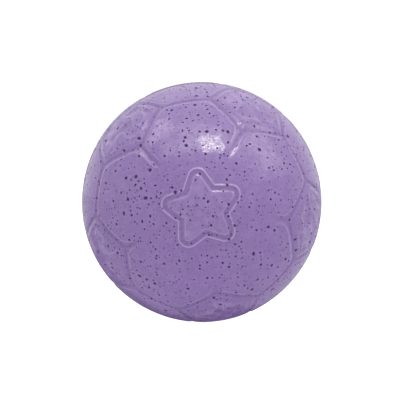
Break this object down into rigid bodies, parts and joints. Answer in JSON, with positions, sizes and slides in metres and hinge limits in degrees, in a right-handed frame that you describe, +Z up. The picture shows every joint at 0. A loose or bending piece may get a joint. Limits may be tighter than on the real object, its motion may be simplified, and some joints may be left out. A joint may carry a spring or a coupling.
{
  "type": "playground ball",
  "caption": "Hollow moulded play ball with a football panel relief, pinholed skin, a raised star emblem and a push-in vent stopper.",
  "frame": {"origin": "centre of the ball's sphere", "axes": "+Z up, away from the floor the ball rests on; the star emblem faces -Y, and the vent and its stopper face +Y"},
  "size_m": [0.1522, 0.1528, 0.1521],
  "materials": {
    "shell_plastic": "satin",
    "plug_rubber": "matte"
  },
  "bodies": {
    "ball": {"ball_shell": "shell_plastic"},
    "plug": {"vent_plug": "plug_rubber"}
  },
  "joints": [
    {"name": "plug_pull", "type": "slide", "parent": "ball", "child": "plug", "axis": [0, 1, 0], "range_m": [0, 0.02]}
  ]
}
